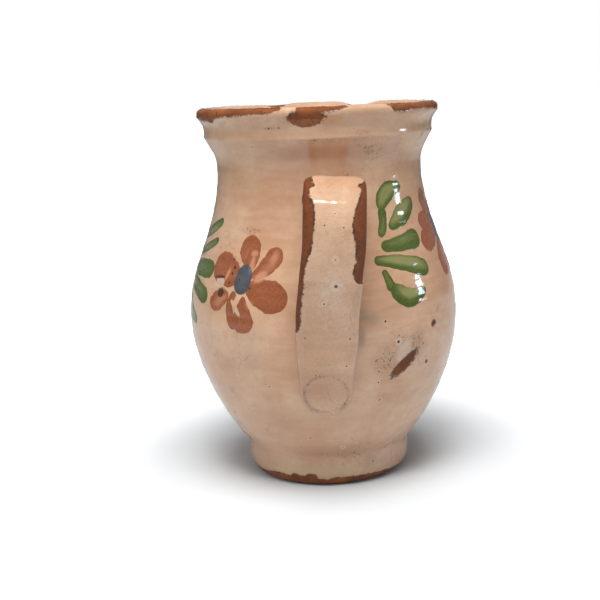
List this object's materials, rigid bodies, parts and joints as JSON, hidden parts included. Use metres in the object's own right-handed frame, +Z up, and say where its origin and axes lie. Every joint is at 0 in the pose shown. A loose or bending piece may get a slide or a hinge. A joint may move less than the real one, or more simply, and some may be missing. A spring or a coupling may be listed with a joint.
{
  "type": "ceramic pitcher",
  "caption": "Hand-thrown earthenware pitcher with a pulled pouring lip, a strap handle, cream glaze and brushed slip flowers.",
  "frame": {"origin": "middle of the foot's resting face", "axes": "+Z up along the axis the pot was thrown on, +Y towards the pouring lip, the handle on -Y"},
  "size_m": [0.1453, 0.1709, 0.2],
  "materials": {
    "terracotta": "matt fired earthenware",
    "cream_glaze": "glossy, mottled",
    "luting_slip": "matt",
    "rust_slip": "glossy, brushed",
    "blue_slip": "glossy, brushed",
    "green_slip": "glossy, brushed"
  },
  "bodies": {
    "root": {"clay_body": "terracotta", "clay_handle": "terracotta", "outer_glaze": "cream_glaze", "inner_glaze": "cream_glaze", "handle_glaze": "cream_glaze", "lower_luting_slip": "luting_slip", "upper_luting_slip": "luting_slip", "left_flower_petals": "rust_slip", "left_flower_centre": "blue_slip", "left_leaf_spray": "green_slip", "right_flower_petals": "rust_slip", "right_flower_centre": "blue_slip", "right_leaf_spray": "green_slip", "front_flower_petals": "rust_slip", "front_flower_centre": "blue_slip", "front_leaf_spray": "green_slip"}
  },
  "joints": []
}
